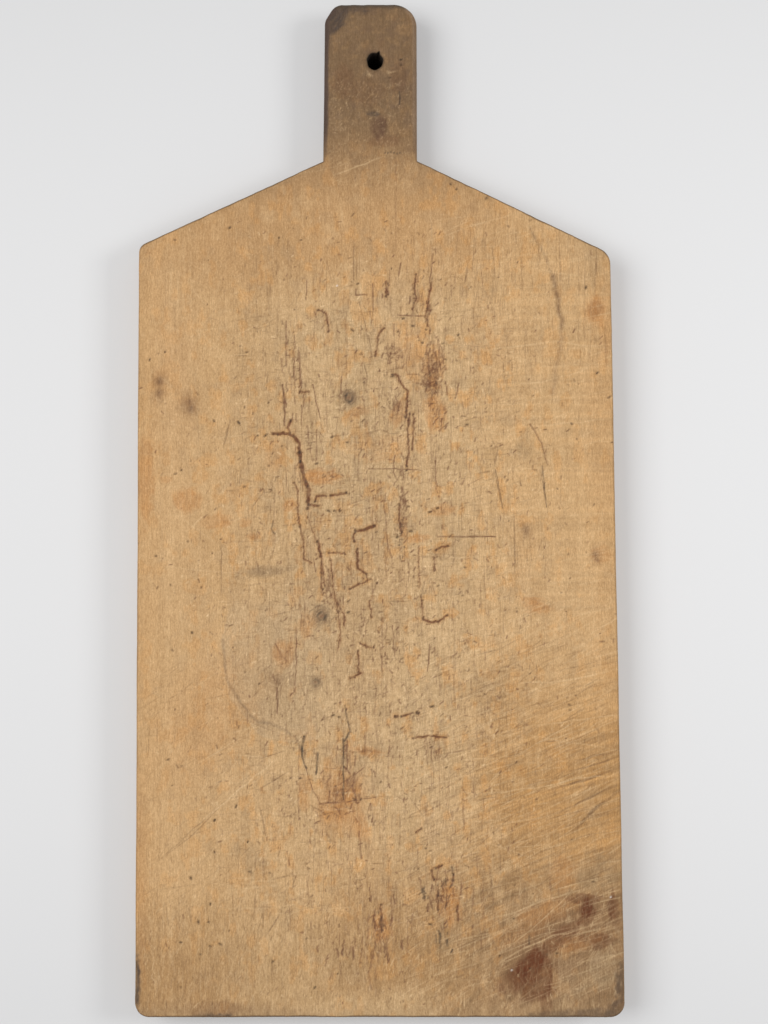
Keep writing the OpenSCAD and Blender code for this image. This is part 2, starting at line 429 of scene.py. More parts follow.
# ---- Knife cuts that stayed dark ----
DARK_CUTS = [
    [(83, 142), (87, 132)], [(87, 132), (88, 122)], [(63, 100), (63, 92)], [(62, 11), (66, -9)],
    [(86, 13), (89, -8)], [(81, 37), (87, 26), (89, 15)], [(64, 24), (62, 13)], [(72, -10), (72, -45)],
    [(40, -29), (40, -39)], [(-76, 41), (-80, 25)], [(-59, 1), (-65, -7)], [(-81, -25), (-81, -55)],
    [(53, -121), (58, -130)], [(86, -129), (94, -129)], [(16, -157), (23, -167)],
    [(42, -151), (46, -157)], [(50, -159), (61, -157)], [(55, -187), (57, -197), (59, -222)],
    [(62, -185), (62, -197)], [(-55, -198), (-45, -196)], [(-42, -195), (-45, -204)],
    [(-50, -181), (-52, -188)], [(-50, -214), (-58, -227)], [(-62, -156), (-57, -179)],
    [(-61, -137), (-48, -133)], [(-62, -153), (-45, -143)],
    [(-9, 105), (-7, 97), (-3, 82), (-2, 74), (-2, 67)], [(-6, 70), (-4, 60)], [(-11, 136), (-11, 112)],
    [(-10, 172), (-10, 167)], [(55, 10.5), (60, 11)], [(-51, -102), (-52, -114)], [(14, 215), (14, 210)],
    [(-111, -187), (-96, -176), (-76, -156)], [(-36, -160), (-26, -166)], [(46, 38), (54, 40)],
    [(-54, -19), (-54, -27)], [(-53, -27), (-55, -34)],
]  # fmt: skip
for points in DARK_CUTS:
    path = wander(points, 3, 0.1)
    stroke("dark", path, rng.uniform(0.4, 0.6), rng.uniform(0.7, 0.95), 0.25, fade=True, broken=0.25)

# ---- The thousands of light cuts of everyday use ----
# (how many, x range, y range, direction, spread, length, layer, strength)
SWEEPS = [
    (1900, (-118, 118), (-255, 150), 90, 4, 12, "pale", 0.42),
    (2800, (-75, 80), (-235, 135), 90, 4, 9, "dark", 0.66),
    (1500, (-120, 120), (-262, 165), 90, 3, 8, "dark", 0.38),
    (1300, (-75, 75), (-215, 100), 3, 9, 8, "dark", 0.66),
    (1300, (-80, 85), (-215, 105), 3, 10, 12, "pale", 0.54),
    (1000, (-48, 58), (-235, 120), 90, 7, 7, "crack", 0.68),
    (520, (-48, 58), (-230, 100), 15, 50, 5, "crack", 0.7),
    (620, (-95, 95), (-215, 120), 48, 16, 15, "pale", 0.58),
    (480, (-95, 100), (-215, 130), 132, 18, 13, "pale", 0.5),
    (420, (-90, 90), (-210, 110), 60, 60, 8, "dark", 0.52),
    (800, (15, 122), (-258, -60), 22, 7, 24, "pale", 0.66),
    (800, (15, 122), (-258, -80), 24, 8, 18, "dark", 0.60),
    (420, (35, 122), (-60, 150), 12, 10, 22, "pale", 0.54),
    (160, (50, 122), (70, 150), 88, 3, 14, "dark", 0.62),
    (200, (-118, -20), (-120, 130), 165, 14, 20, "pale", 0.36),
    (420, (-118, -40), (-215, -90), 25, 20, 14, "dark", 0.40),
    (1700, (-122, 122), (-266, -205), 82, 18, 4, "pale", 0.66),
    (2500, (-122, 122), (-266, -205), 87, 15, 3, "dark", 0.72),
    (900, (-24, 21), (NECK - 16, END - 44), 70, 50, 1.2, "pale", 0.42),
    (1100, (-24, 21), (NECK - 16, END - 4), 75, 45, 1.3, "dark", 0.50),
]
for n, (x0, x1), (y0, y1), direction, spread, length, name, strength in SWEEPS:
    for _ in range(n):
        cx, cy = rng.uniform(x0, x1), rng.uniform(y0, y1)
        a = math.radians(rng.normal(direction, spread))
        half = rng.gamma(2.5, length / 2.5) / 2
        dx, dy = half * math.cos(a), half * math.sin(a)
        path = bow((cx - dx, cy - dy), (cx + dx, cy + dy), rng.normal(0, 0.03), 1 if length < 15 else 4)
        sunk = 0.05 if name == "pale" else 0.08
        stroke(name, path, rng.uniform(0.1, 0.4), strength * rng.uniform(0.3, 1.3), sunk, True, 0.5)
# Pits and flecks in the worn middle
for _ in range(6400):
    x, y = rng.normal(2, 45), rng.normal(-50, 105)
    if y < 150:
        name = ("dark", "crack", "pale")[rng.integers(3)]
        length, angle, width = rng.uniform(0.3, 2.2), rng.normal(75, 50), rng.uniform(0.3, 0.7)
        dab(name, x, y, length, angle, width, rng.uniform(0.1, 1.0) ** 1.5, 0.08)
# Long slices that stand out, pale and dark
for name, slices in [
    ("pale", [
        (0.5, 0.5, [(-119, -37), (-75, -41), (-33, -55)]),
        (0.8, 0.8, [(-91, -169), (-71, -152), (-48, -134)]),
        (0.6, 0.6, [(-48, -134), (-18, -102), (2, -44)]),
    ]),
    ("dark", [(0.5, 0.6, [(-114, -189), (-91, -169), (-76, -156)])]),
    ("pale", [
        (0.7, 0.65, [(46, -222), (69, -215), (85, -209), (102, -205), (110, -203)]),
        (0.8, 0.75, [(58, -243), (68, -236), (77, -232), (88, -227), (96, -226), (115, -220)]),
        (0.6, 0.6, [(93, -228), (122, -222)]), (0.6, 0.6, [(110, -226), (122, -223)]),
        (0.6, 0.5, [(105, -240), (123, -236)]), (0.5, 0.6, [(38, -58), (60, -51), (83, -43)]),
        (0.6, 0.7, [(68, -99), (94, -99), (123, -93)]), (0.5, 0.6, [(57, -126), (81, -121), (115, -117)]),
        (0.6, 0.7, [(49, -156), (81, -153), (102, -148), (122, -147)]),
        (0.5, 0.6, [(41, -175), (64, -171), (93, -166)]), (0.5, 0.5, [(65, -124), (125, -134)]),
        (0.6, 0.7, [(51, 75), (96, 80), (108, 78), (122, 76)]),
        (0.5, 0.6, [(54, 57), (88, 58), (122, 68)]), (0.6, 0.6, [(81, 35), (104, 36), (124, 39)]),
        (0.5, 0.45, [(19, 132), (50, 142), (83, 152)]), (0.5, 0.35, [(-110, 150), (-40, 172), (-6, 179)]),
        (0.6, 0.6, [(-23, 171), (-14, 174), (5, 181)]),
        (0.8, 0.6, [(-4, 229), (-1, 226), (2, 225), (6, 227), (13, 229)]),
        (0.5, 0.5, [(52, -186), (80, -178), (118, -166)]), (0.4, 0.4, [(-90, 10), (-60, -2), (-20, -22)]),
    ]),
    ("dark", [
        (1.2, 0.7, [(101, -139), (122, -135)]), (1.2, 0.8, [(87, -154), (105, -149), (124, -143)]),
        (1.0, 0.7, [(96, -145), (112, -141), (124, -137)]),
        (1.0, 0.7, [(92, -166), (108, -158), (124, -151)]),
        (1.6, 0.8, [(99, -175), (112, -163), (123, -155)]), (0.8, 0.5, [(111, -120), (116, -128)]),
        (0.6, 0.6, [(82, -88), (82, -100)]), (0.5, 0.6, [(27, -78), (27, -89)]),
    ]),
]:  # fmt: skip
    for width, strength, points in slices:
        stroke(name, wander(points, 5, 0.25), width, strength, 0.08, fade=True, broken=0.4)
for x in np.linspace(6, 14, 6):
    dab("soot", x, 183 + rng.normal(0, 0.2), 0.5, 80, 0.6, 0.8, 0.1)
stroke("soot", [(14, 217), (14.3, 213), (14, 210)], 0.8, 0.8, 0.1)
for x, y in [(-20, 111), (67, -244), (118, -208)]:
    dab("chip", x, y, 0.1, 0, 0.7, 0.85, 0.3)

# ---- Stains: layer, then (x, y, radius along, radius across, strength, direction) ----
STAINS = [
    ("brown", [
        (80, -246, 22, 14, 0.3, 30), (77, -242, 14, 7.5, 1.0, 50), (71, -247, 9, 6, 0.85, 62),
        (83, -246, 12, 5, 0.85, 90), (65, -250, 7, 5, 0.6, 55), (79, -254, 9, 5, 0.75, 10),
        (84, -262, 6, 3, 0.45, 90), (92, -228, 15, 4.6, 0.8, 36), (105, -209, 8, 3, 0.85, 2),
        (106, -214, 6, 4.4, 1.0, 80), (105, -219, 4, 3, 0.75, 90), (119, -213, 7, 3.2, 0.85, 95),
        (120, -220, 4, 2.4, 0.55, 90), (104, -228, 3.4, 2.6, 0.6, 20), (112, -230, 7, 3.4, 0.65, 12),
        (102, -222, 26, 12, 0.34, 22),
    ]),
    ("orange", [
        (93, -196, 9, 6, 0.6, 90), (84, -215, 14, 6, 0.55, 20), (101, -231, 12, 5, 0.5, 12),
        (70, -226, 14, 5, 0.35, 25),
    ]),
    ("black", [
        (123, -254, 14, 3.4, 0.75, 90), (119, -264, 9, 4, 0.75, 40), (100, -266, 24, 2.6, 0.5, 3),
        (-123.4, -249, 13, 2.0, 1.0, 90), (-84, -266, 12, 1.5, 0.75, 0),
    ]),
    ("brown", [(-84, -262, 16, 4, 0.3, 0)]),
    ("grey", [(112, -199, 15, 6, 0.8, 22), (81, -211, 6, 2, 0.8, 22), (33, -229, 9, 6, 0.6, 80)]),
    ("orange", [(117, 96, 8, 6, 0.9, 90)]),
    ("brown", [(117, 97, 5, 4, 0.32, 90)]),
    ("orange", [
        (122, 88, 20, 3, 0.35, 90), (-99, -3, 6, 7, 0.8, 90), (-83, -14, 8, 4, 0.6, 5),
        (-68, -15, 3, 2, 0.6, 0), (-64, -22, 4, 2, 0.5, 0),
    ]),
    ("brown", [(-64, -22, 3, 1.5, 0.25, 0)]),
    ("orange", [(-110, 8, 3, 2, 0.5, 0), (-49, -83, 6, 6, 0.75, 90)]),
    ("brown", [(-49, -84, 3, 4, 0.25, 90)]),
    ("orange", [
        (-121, 10, 24, 4, 0.6, 90), (-122, -200, 50, 4, 0.3, 90), (117, -33, 5, 4, 0.5, 0),
        (82, -59, 7, 4, 0.75, -15), (22, -24, 6, 2, 0.8, 5), (35, -9, 6, 3, 0.7, 5),
        (1, -222, 8, 4, 1.0, 90), (12, 42, 8, 4, 0.6, 60), (31, 68, 12, 6, 0.75, 90),
        (31, 43, 8, 6, 0.85, 90),
    ]),
    ("brown", [(29, 59, 12, 4.4, 0.2, 88)]),
    ("orange", [(-19, -158, 15, 12, 0.9, 90)]),
    ("brown", [(-18, -155, 10, 9, 0.22, 90)]),
    ("orange", [(-11, -170, 9, 5, 0.8, -60), (-6, -133, 7, 2.5, 0.8, -10)]),
    ("brown", [(-6, -133, 5, 1.2, 0.3, -10)]),
    ("orange", [
        (-27, 9, 9, 4, 0.95, 0), (-45, -6, 4, 3, 0.8, 0), (-36, -68, 7, 4, 0.6, 90),
        (-54, 20, 9, 5, 0.4, 90), (6, 24, 12, 6, 0.4, 20),
    ]),
    ("black", [(-57, -40, 13, 2.6, 0.26, 4)]),
    ("orange", [
        (-10, 43, 8, 3, 0.45, 15), (-14, -134, 8, 2, 0.6, 90), (36, -210, 11, 5, 0.9, 90),
        (-38, -155, 9, 3, 0.5, 90), (20, 76, 18, 10, 0.35, 90),
    ]),
    ("grey", [
        (-18, -138, 10, 2, 0.85, 90), (-22, -174, 6, 5, 0.7, 90), (-60, -41, 16, 3.4, 0.6, 4),
        (-72, 66, 16, 5, 0.3, 90), (-16, 52, 9, 8, 0.7, 20), (-22, 45, 12, 4, 0.5, 30),
        (-54, -108, 18, 11, 0.35, -35),
    ]),
    ("orange", [(-84, -112, 34, 22, 0.3, 60)]),
    ("grey", [
        (-46, -92, 30, 20, 0.5, 60), (-18, -20, 110, 34, 0.5, 90), (18, 8, 90, 26, 0.22, 90),
        (-50, 60, 70, 20, 0.3, 90), (22, -100, 60, 26, 0.2, 90), (78, 24, 8, 4, 0.7, 80),
        (-66, 36, 8, 4, 0.6, 10), (22, -57, 9, 4, 0.5, 40), (6, -112, 9, 4, 0.45, 30),
        (28, -132, 9, 7, 0.45, 90), (54, -100, 12, 5, 0.5, 35),
    ]),
    ("black", [(0, 205, 3.4, 1.6, 0.8, 0)]),
    ("knot", [(3, 197, 6, 4.6, 1.0, 90)]),
    ("brown", [(6, 190, 9, 3, 0.35, 0)]),
    ("black", [
        (-19, 259, 11, 5.2, 1.0, 52), (-24, 254, 9, 3.6, 0.8, 72), (-14, 264, 12, 3.6, 0.8, 0),
        (0, 266, 24, 2.8, 0.55, 0),
    ]),
    ("brown", [(-16, 222, 9, 6, 0.25, 90), (-6, 218, 10, 8, 0.2, 0), (14, 225, 9, 5, 0.2, 90)]),
    ("grey", [(-30, -232, 30, 6, 0.35, -35), (-60, -196, 22, 5, 0.5, -55), (118, 130, 22, 6, 0.5, 90)]),
    ("clean", [
        (113, -244, 10, 7, 0.7, 80), (97, -250, 11, 8, 0.4, 60), (108, -192, 12, 4, 0.35, 25),
        (112, 128, 20, 9, 0.3, 90),
    ]),
]  # fmt: skip
stains = [(name, *stain) for name, group in STAINS for stain in group]
for k, (name, x, y, rx, ry, strength, angle) in enumerate(stains):
    big = rx * ry > 150
    edge, streaked = 1.3 if big else 0.75, 0.12 if big or name == "brown" else 0.3
    blot(name, x, y, rx, ry, strength, angle, 0.45, edge, 2 * k, streaked)
# The edge of an old spill, a scrubbed arc, and the mark of a bowl's foot
for points, name, width, strength in [
    ([(-80, -76), (-78, -96), (-68, -112), (-62, -118), (-55, -119), (-47, -123), (-42, -127),
      (-38, -134)], "black", 0.9, 0.55),
    ([(-68, -165), (-66, -178), (-58, -196), (-48, -215), (-38, -232), (-25, -243)], "grey", 4, 0.5),
    ([(83, 142), (88, 132), (92, 123), (94.6, 115)], "black", 1.0, 0.4),
    ([(94.8, 115), (95.8, 108), (96.6, 103), (97.2, 98), (98.2, 92), (98.8, 87)], "knot", 1.9, 0.8),
    ([(98.8, 88), (98.4, 82), (97.6, 77), (96, 70), (95, 60), (93.4, 52)], "knot", 1.9, 0.5),
]:  # fmt: skip
    stroke(name, wander(points, 4, 0.4), width, strength, broken=0.4, soft=0.8 + 0.8 * width)


# ---- Colour of the wood, before its fine grain ----
def srgb(r, g, b):
    """Linear colour from red, green and blue of 0 to 255."""
    c = np.array([r, g, b]) / 255
    return np.where(c <= 0.04045, c / 12.92, ((c + 0.055) / 1.055) ** 2.4)


def mix(tone, colour, amount):
    """The tone moved towards a colour: not at all for 0, all the way for 1."""
    return tone + (srgb(*colour) - tone) * np.clip(amount, 0, 1)[..., None]


def bare_wood(x, y):
    """Scrubbed pale wood, browner at both ends and darkest on the handle."""
    drift = layered(x, y, 45, 110, 21)
    band = noise(x, y, 5, 260, 31) + 0.6 * noise(x, y, 1.7, 200, 32)
    sides = smooth((x - 45) / 40) * 0.75 + smooth((-x - 85) / 25) * 0.3
    tone = np.ones(np.shape(x) + (3,)) * srgb(194, 155, 107)
    for colour, amount in [
        ((201, 162, 114), 0.8 * np.exp(-(((x + 106) / 16) ** 2)) + 0.5 * smooth((x - 25) / 50)),
        ((202, 168, 123), 0.95 * np.exp(-(((x - 2) / 55) ** 4) - ((y + 25) / 185) ** 6)),
        ((207, 170, 124), 0.35 * smooth(1.5 * drift)),
        ((190, 148, 102), 0.35 * smooth(-1.5 * drift)),
        ((196, 154, 104), 0.5 * smooth((np.abs(x) - SIDE + 17) / 9)),
        ((184, 143, 96), 0.9 * (1 - sides) * smooth((y - 92 + 10 * drift) / 45)),
        ((180, 136, 84), 0.95 * smooth((x - 30) / 45) * smooth((-70 - y) / 70)),
        ((178, 144, 101), 0.7 * smooth((-205 - y + 6 * drift) / 40)),
        ((174, 136, 91), 0.95 * smooth((x + 45 + 12 * drift) / 40) * smooth((-160 - y + 12 * drift) / 60)),
        ((143, 111, 76), 0.92 * smooth((x - 20) / 60) * smooth((-176 - y) / 55)),
        ((160, 123, 80), 0.6 * np.exp(-(((x - 12) / 30) ** 2) - ((y + 238) / 15) ** 2)),
        ((172, 133, 87), 0.95 * smooth((-x - 50) / 50) * smooth((-195 - y + 9 * drift) / 60)),
        ((164, 132, 94), 0.6 * smooth((-256 - y + 4 * drift) / 8)),
        ((196, 163, 119), 0.6 * smooth((-248 - y + 5 * drift) / 10) * np.exp(-(((x + 4) / 32) ** 4))),
    ]:
        tone = mix(tone, colour, amount)
    patina = smooth((y - NECK + 34 + 5 * drift + 2 * band) / 66)
    tone = mix(tone, (117, 91, 63), patina)
    tone = mix(tone, (150, 117, 78), 0.36 * patina * smooth(layered(x, y, 1.5, 1.8, 41) * 1.8))
    tone = mix(tone, (100, 77, 60), 0.32 * patina * smooth(-layered(x, y, 7, 6, 45) * 1.6))
    return tone * (1 + 0.03 * band)[..., None]


tone = bare_wood(X, Y)
worn = np.exp(-((X / 85) ** 4) - (((Y + 40) / 175) ** 4))  # where the knives went
# The scrubbing brush swung in arcs round the lower right corner, and more gently above
for centre, reach, amount in [
    ((168, -414), smooth((X - 10) / 50) * smooth((-60 - Y) / 70), 0.13),
    ((90, -760), smooth((X - 15) / 40) * smooth((Y + 90) / 40) * smooth((150 - Y) / 40), 0.055),
]:
    dx, dy = X - centre[0], Y - centre[1]
    r, arc = np.hypot(dx, dy), np.arctan2(dy, dx) * 250
    swing = noise(arc, r, 60, 3.2, 141) + noise(arc, r, 45, 1.3, 142) + 0.6 * noise(arc, r, 30, 0.8, 143)
    tone = tone * (1 + amount * reach * swing)[..., None]
for colour, amount, cell, seed in [
    ((206, 148, 82), 0.58, (5, 8), 111),
    ((168, 138, 102), 0.40, (7, 9), 121),
    ((212, 174, 126), 0.5, (4, 9), 131),
]:
    patchy = layered(X, Y, *cell, seed, 4)
    amount = amount * (0.35 + 0.65 * worn) * (1 - 0.75 * smooth((Y - NECK + 20) / 40))
    tone = mix(tone, colour, amount * smooth(2.6 * patchy - 0.25))
# An old spill, paler and greyer, with a clear edge at its lower left
spill = smooth((1 - np.hypot((X + 44) / 37, (Y + 82) / 46) + 0.05 * noise(X, Y, 9, 9, 151)) / 0.035 + 0.5)
spill = spill * smooth((-10 - X) / 30) * smooth((-38 - Y) / 30)
tone = mix(tone, (190, 162, 125), 0.45 * spill)
uneven = 1 + 0.35 * layered(X, Y, 4, 7, 61)
for name, colour, amount in [
    ("grey", (150, 124, 90), 0.55), ("orange", (184, 122, 60), 0.66), ("clean", (166, 138, 102), 0.9),
    ("brown", (94, 46, 14), 0.9), ("black", (74, 60, 50), 1.0), ("knot", (92, 63, 44), 0.9),
    ("dark", (106, 76, 48), 0.95), ("pale", (226, 192, 146), 0.8), ("pit", (112, 88, 60), 0.9),
    ("crack", (104, 66, 44), 0.95), ("gallery", (96, 56, 33), 0.97), ("dust", (132, 88, 60), 0.85),
    ("soot", (58, 48, 38), 0.9), ("chip", (236, 226, 216), 1.0),
]:  # fmt: skip
    laid = layer(name) * amount
    if name in ("grey", "orange", "brown", "black", "clean"):
        laid = laid * uneven
    if name == "pale":
        laid = laid * (1 - 0.6 * smooth(layer("brown") - 0.2))
    tone = mix(tone, colour, laid)
# The left and the lower right are a little darker
light = 0.955 - 0.045 * smooth((-X - 25) / 60) - 0.05 * smooth((X - 100) / 12) * smooth((-120 - Y) / 40)
tone *= light[..., None]

# ---- Relief of the cutting face ----
hollow = np.exp(-((X / 75) ** 2) - (((Y + 40) / 150) ** 2))
relief += -0.5 * hollow + 0.10 * layered(X, Y, 30, 60, 71) + 0.03 * noise(X, Y, 1.6, 30, 75)
relief -= 0.12  # so that no ridge stands above the CAD model's face


def at(raster, x, y):
    """A raster's value between its points."""
    u = np.clip((np.asarray(x) + SIDE) / (xs[1] - xs[0]), 0, len(xs) - 1.001)
    v = np.clip((np.asarray(y) - FOOT) / (ys[1] - ys[0]), 0, len(ys) - 1.001)
    i, j = v.astype(int), u.astype(int)
    a, b = v - i, u - j
    if raster.ndim == 3:
        a, b = a[:, None], b[:, None]
    top = raster[i, j] * (1 - b) + raster[i, j + 1] * b
    return top * (1 - a) + (raster[i + 1, j] * (1 - b) + raster[i + 1, j + 1] * b) * a


# ---- The mesh ----
points, colours, sheen, cut_up, faces, face_uvs = [], [], [], [], [], []
count = 0


def add(xy, z, tone_factor=1.0, blend_to=None, share=0.0, dull=0.0):
    """New vertices, coloured from the cutting face's colours at the same place."""
    global count
    xy, z = np.asarray(xy, float), np.broadcast_to(np.asarray(z, float), len(xy))
    c = at(tone, *xy.T)
    if blend_to is not None:
        c = c + (blend_to - c) * np.broadcast_to(share, len(xy))[:, None]
    points.append(np.column_stack([xy, z]))
    colours.append(c * np.broadcast_to(tone_factor, len(xy))[:, None])
    sheen.append(np.broadcast_to(np.asarray(dull, float), len(xy)))
    cut_up.append(at(worn, xy[:, 0] * 1.25, xy[:, 1]) * (1 - np.broadcast_to(share, len(xy))))
    ids = np.arange(count, count + len(xy))
    count += len(xy)
    return ids


def add_faces(corner_ids, uv):
    """Faces by their corners, and the same corners' places on the map."""
    faces.append(corner_ids)
    face_uvs.append(uv)


# The map is a square. Each part of the plank has its corner on it and a width in mm that
# the whole map would have at the part's scale.
FACE_AT, FACE_MAP = (0.008, 0.01), 545
UNDER_AT, UNDER_MAP = (0.985, 0.02), 780
SIDES_AT, SIDES_MAP, HEIGHT_MAP, SIDES_PITCH = (0.475, 0.735), 1010, 640, 0.035
BORE_AT, BORE_WIDE = (0.475, 0.86), 0.06


def flat_uv(x, y, under):
    """Cutting face on the left of the map, underside on the right at a smaller scale."""
    if under:
        return np.stack([UNDER_AT[0] - (x + SIDE) / UNDER_MAP, UNDER_AT[1] + (y - FOOT) / UNDER_MAP], -1)
    return np.stack([FACE_AT[0] + (x + SIDE) / FACE_MAP, FACE_AT[1] + (y - FOOT) / FACE_MAP], -1)


def crossings(poly, y):
    a, b = poly, np.roll(poly, -1, 0)
    hit = (a[:, 1] <= y) != (b[:, 1] <= y)
    a, b = a[hit], b[hit]
    return np.sort(a[:, 0] + (y - a[:, 1]) * (b[:, 0] - a[:, 0]) / (b[:, 1] - a[:, 1]))


def inside_rows(poly, columns, rows):
    return np.array([np.searchsorted(crossings(poly, y), columns) % 2 == 1 for y in rows])


def inside_points(poly, pts):
    return np.array([np.searchsorted(crossings(poly, y), x) % 2 == 1 for x, y in pts])


theta = np.linspace(0, 2 * math.pi, HOLE_STEPS, endpoint=False)
hole_r = (
    HOLE_RX * HOLE_RY / np.hypot(HOLE_RY * np.cos(theta), HOLE_RX * np.sin(theta))
    + 0.12 * np.sin(3 * theta + 1)
    + 0.08 * np.sin(7 * theta)
)
nick = np.exp(-(((theta - math.radians(66)) / 0.13) ** 2))


def hole_xy(grow, nicked=1.0):
    r = hole_r + grow + 1.3 * nick * nicked
    return np.stack([HOLE[0] + r * np.cos(theta), HOLE[1] + r * np.sin(theta)], 1)


def fill(grid_x, grid_y, ring, ring_ids, hole, hole_ids, clear, make, under):
    """A grid inside the ring and round the hole, joined to both by triangles."""
    keep = inside_rows(line - outward * (RIM + clear), grid_x, grid_y)
    gx, gy = np.meshgrid(grid_x, grid_y)
    keep &= np.hypot(gx - HOLE[0], gy - HOLE[1]) > HOLE_RY + HOLE_CLEAR + clear
    cell = keep[:-1, :-1] & keep[1:, :-1] & keep[:-1, 1:] & keep[1:, 1:]
    used = np.zeros_like(keep)
    for di in (0, 1):
        for dj in (0, 1):
            used[di : di + cell.shape[0], dj : dj + cell.shape[1]] |= cell
    index = np.full(keep.shape, -1)
    index[used] = make(np.stack([gx[used], gy[used]], 1))
    i, j = np.nonzero(cell)
    quad, corner_x, corner_y = (
        np.stack([a[i, j], a[i, j + 1], a[i + 1, j + 1], a[i + 1, j]], 1) for a in (index, gx, gy)
    )
    uv = flat_uv(corner_x, corner_y, under)
    add_faces(quad[:, ::-1] if under else quad, uv[:, ::-1] if under else uv)
    # Edges that only one kept cell uses
    edges = []
    pad = np.pad(cell, 1)
    for (oi, oj), (ai, aj), (bi, bj) in [
        ((0, 1), (0, 0), (0, 1)),
        ((1, 2), (0, 1), (1, 1)),
        ((2, 1), (1, 1), (1, 0)),
        ((1, 0), (1, 0), (0, 0)),
    ]:
        lonely = cell & ~pad[oi : oi + cell.shape[0], oj : oj + cell.shape[1]]
        for i, j in zip(*np.nonzero(lonely)):
            edges.append((index[i + ai, j + aj], index[i + bi, j + bj]))
    rim = sorted({v for e in edges for v in e})
    ids = np.concatenate([ring_ids, hole_ids, rim])
    place = {v: n for n, v in enumerate(ids)}
    where = dict(zip(index[used], zip(gx[used], gy[used])))
    flat = [tuple(p) for p in ring] + [tuple(p) for p in hole] + [where[v] for v in rim]
    flat = np.array(flat, np.float32)  # as exact as the triangulation itself
    n, m = len(ring), len(hole)
    links = [(k, (k + 1) % n) for k in range(n)] + [(n + k, n + (k + 1) % m) for k in range(m)]
    links += [(place[a], place[b]) for a, b in edges]
    out, _, tris, origin, _, _ = delaunay_2d_cdt([Vector(p) for p in flat], links, [], 0, 1e-5)
    back = [o[0] for o in origin]
    tris = np.array([[back[v] for v in t] for t in tris])
    flat = flat.astype(float)
    middle = flat[tris].mean(1)
    good = inside_points(flat[:n], middle) & ~inside_points(flat[n : n + m], middle)
    ci = np.clip(np.searchsorted(grid_y, middle[:, 1]) - 1, 0, cell.shape[0] - 1)
    cj = np.clip(np.searchsorted(grid_x, middle[:, 0]) - 1, 0, cell.shape[1] - 1)
    tris = tris[good & ~cell[ci, cj]]
    uv = flat_uv(flat[tris][..., 0], flat[tris][..., 1], under)
    tris = ids[tris]
    add_faces(tris[:, ::-1] if under else tris, uv[:, ::-1] if under else uv)


def lift(xy):
    return THICK + at(relief, *xy.T)


# The strip round the outline: over the top edge, down the side, under the bottom edge
side_grain = np.abs(outward[:, 1])  # 1 where the saw cut across the grain
end_grain = smooth((side_grain - 0.25) / 0.4)
grip = smooth((line[:, 1] - NECK + 10) / 30)  # 1 on the handle
handle_left_patina_and_shade, handle_right_painted_light = (smooth((way * outward[:, 0] - 0.3) / 0.4) * grip for way in (-1, 1))
side_tone = srgb(176, 138, 95) * (1 - 0.28 * side_grain)[:, None]
side_tone = side_tone * (1 - grip)[:, None] + srgb(112, 84, 62) * grip[:, None]
# On the blade the end-grain arris is painted half as bright: darker end grain together with painted shade.
edge_tone = side_tone * (1 - 0.5 * end_grain * (1 - grip))[:, None]
# On the handle the end-grain arris is dark, the left arris is painted dark as patina with painted shade, and
# the right arris is painted paler as painted light.
for colour, share in [
    ((86, 72, 58), end_grain * grip),
    ((80, 62, 52), handle_left_patina_and_shade),
    ((140, 113, 86), handle_right_painted_light),
]:
    edge_tone = mix(edge_tone, colour, share)
# Towards the edge the top darkens a little, and the rounded edge more: dirt along the edge together with
# painted shade on the arris.
edge_dirt_and_shade = 0.80 + 0.10 * noise(*line.T, 9, 9, 81)
knock = 0.12 * noise(*line.T, 2.5, 2.5, 82)
rings = []
for f in (1, 0.75, 0.5, 0.25):
    xy = line - outward * (arris + (RIM - arris) * f)[:, None]
    rings.append((add(xy, lift(xy), tone_factor=1 - 0.05 * (1 - f)), "top"))
for phi in np.radians([0, 22, 45, 68, 90]):
    xy = line - outward * (arris * (1 - math.sin(phi)) + knock * math.sin(2 * phi))[:, None]
    fall = arris * (1 - math.cos(phi))
    share = min(1.0, phi / 0.7) ** 1.5 * (0.35 + 0.6 * np.maximum(grip, end_grain))
    # The handle's rounded edges take their painted shade on the left and their painted light on the right
    # almost fully.
    share = np.maximum(share, 0.9 * min(1.0, phi / 0.38) * (handle_left_patina_and_shade + handle_right_painted_light))
    z = THICK - fall + at(relief, *xy.T) * math.cos(phi)
    dirt_and_shade = 1 - (1 - edge_dirt_and_shade) * math.sin(2 * phi)
    rings.append((add(xy, z, dirt_and_shade, edge_tone, share, 0.1), "top"))
levels = np.linspace(THICK - 3, 2.2, 9)
for n, level in enumerate(levels):
    z = np.clip(level, arris * 0.9 + 0.1, THICK - arris - 0.15)
    bulge = 0.09 * noise(line[:, 0] + 40 * n, line[:, 1] - 31 * n, 6, 6, 83)
    patch = 1 + 0.10 * noise(line[:, 0] + 9 * n, line[:, 1], 25, 25, 84)
    rings.append((add(line - outward * (0.1 + bulge)[:, None], z, patch, side_tone, 0.8, 0.3), "side"))
for phi in np.radians([90, 60, 30, 0]):
    r = np.minimum(arris, 1.9)
    xy = line - outward * (r * (1 - math.sin(phi)))[:, None]
    rings.append((add(xy, r * (1 - math.cos(phi)), 0.86, side_tone, 0.7 * math.sin(phi), 0.2), "under"))
rings.append((add(line - outward * RIM, 0.0, 0.97), "under"))

# The sides lie on the map in three rows
ROWS = 3
row_len = (along[-1] + step_len[-1]) / ROWS
row = np.minimum((along / row_len).astype(int), ROWS - 1)[:, None]
ends = np.stack([along, along, along + step_len, along + step_len], 1)
first_under = next(ids for ids, kind in rings if kind == "under")
every = np.concatenate(points)
for (a, _), (b, kind) in zip(rings, rings[1:]):
    quad = np.stack([a, b, np.roll(b, -1), np.roll(a, -1)], 1)
    x, y, z = np.moveaxis(every[quad], -1, 0)
    if kind == "side" or b is first_under:
        u = SIDES_AT[0] + (ends - row * row_len) / SIDES_MAP
        uv = np.stack([u, SIDES_AT[1] + row * SIDES_PITCH + z / HEIGHT_MAP], -1)
    else:
        uv = flat_uv(x, y, kind == "under")
    add_faces(quad, uv)
